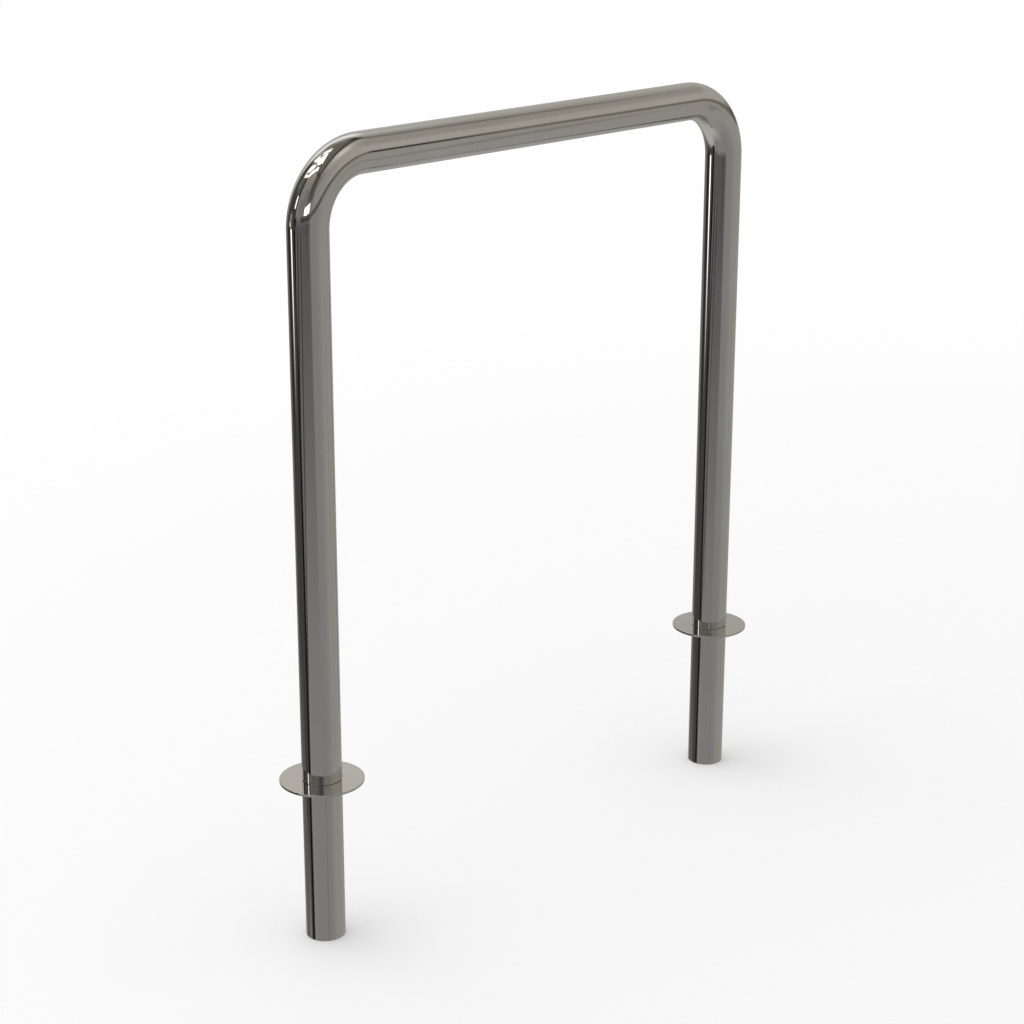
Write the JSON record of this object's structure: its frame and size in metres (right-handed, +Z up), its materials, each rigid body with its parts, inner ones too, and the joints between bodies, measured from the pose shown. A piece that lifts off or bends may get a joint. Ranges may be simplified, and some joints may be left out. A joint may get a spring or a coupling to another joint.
{
  "type": "hoop bike rack",
  "caption": "Bent steel tube hoop that bicycles lean on and are locked to, set in the ground by its legs, with a loose round cover at ground level on each leg.",
  "frame": {"origin": "at ground level, midway between the centrelines of the two legs, in the plane of the covers' undersides", "axes": "+X along the hoop's width towards the right leg, +Y square to the hoop's plane, away from the picture's viewer, +Z up"},
  "size_m": [0.856, 0.106, 1.008],
  "materials": {
    "polished_tube": "polished stainless steel tube, close to a mirror",
    "polished_plate": "polished stainless steel plate, close to a mirror"
  },
  "bodies": {
    "hoop": {"hoop_tube": "polished_tube"},
    "left_cover": {"left_ground_cover": "polished_plate"},
    "right_cover": {"right_ground_cover": "polished_plate"}
  },
  "joints": [
    {"name": "left_cover_lift", "type": "slide", "parent": "hoop", "child": "left_cover", "axis": [0, 0, 1], "range_m": [0, 0.687]},
    {"name": "right_cover_lift", "type": "slide", "parent": "hoop", "child": "right_cover", "axis": [0, 0, 1], "range_m": [0, 0.687]}
  ]
}
